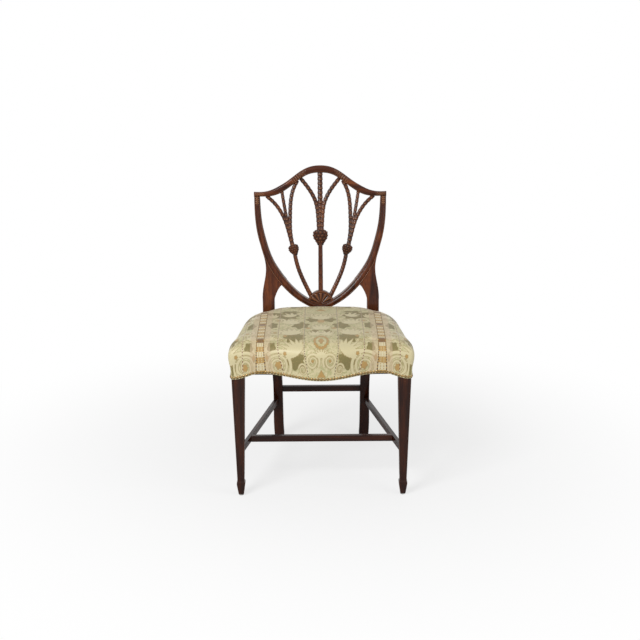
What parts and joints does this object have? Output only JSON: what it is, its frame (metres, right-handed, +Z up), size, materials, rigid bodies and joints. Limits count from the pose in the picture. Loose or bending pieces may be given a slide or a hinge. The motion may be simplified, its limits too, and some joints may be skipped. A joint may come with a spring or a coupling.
{
  "type": "shield back side chair",
  "caption": "Dining side chair with a carved shield back, splats spreading from small buds, a stuffed serpentine seat edged with brass nails, tapered legs and stretchers.",
  "frame": {"origin": "centre of the chair's bounding box, on the floor", "axes": "+Z up, -Y towards the front of the chair, +X to the right of a viewer who faces the chair"},
  "size_m": [0.5632, 0.574, 0.959],
  "materials": {
    "mahogany": "polished",
    "beech": "sawn",
    "steel": "satin",
    "antique_brass": "aged",
    "jute_webbing": "woven",
    "burlap": "woven",
    "stuffing": "matte",
    "damask": "silk damask",
    "black_cotton": "matte"
  },
  "bodies": {
    "root": {"centre_splat": "mahogany", "right_splat": "mahogany", "left_splat": "mahogany", "crest_rail": "mahogany", "lunette": "mahogany", "shield_base_rail": "mahogany", "right_back_post": "mahogany", "left_back_post": "mahogany", "right_front_leg": "mahogany", "left_front_leg": "mahogany", "front_rail": "beech", "right_side_rail": "beech", "left_side_rail": "beech", "back_rail": "beech", "right_side_stretcher": "mahogany", "left_side_stretcher": "mahogany", "cross_stretcher": "mahogany", "back_stretcher": "mahogany", "right_front_corner_block": "beech", "left_front_corner_block": "beech", "right_back_corner_block": "beech", "left_back_corner_block": "beech", "corner_block_screws": "steel", "glides": "steel", "brass_nails": "antique_brass", "webbing_long": "jute_webbing", "webbing_cross": "jute_webbing", "webbing_tacks": "steel", "burlap": "burlap", "stuffed_pad": "stuffing", "seat_cover": "damask", "dust_cover": "black_cotton"}
  },
  "joints": []
}
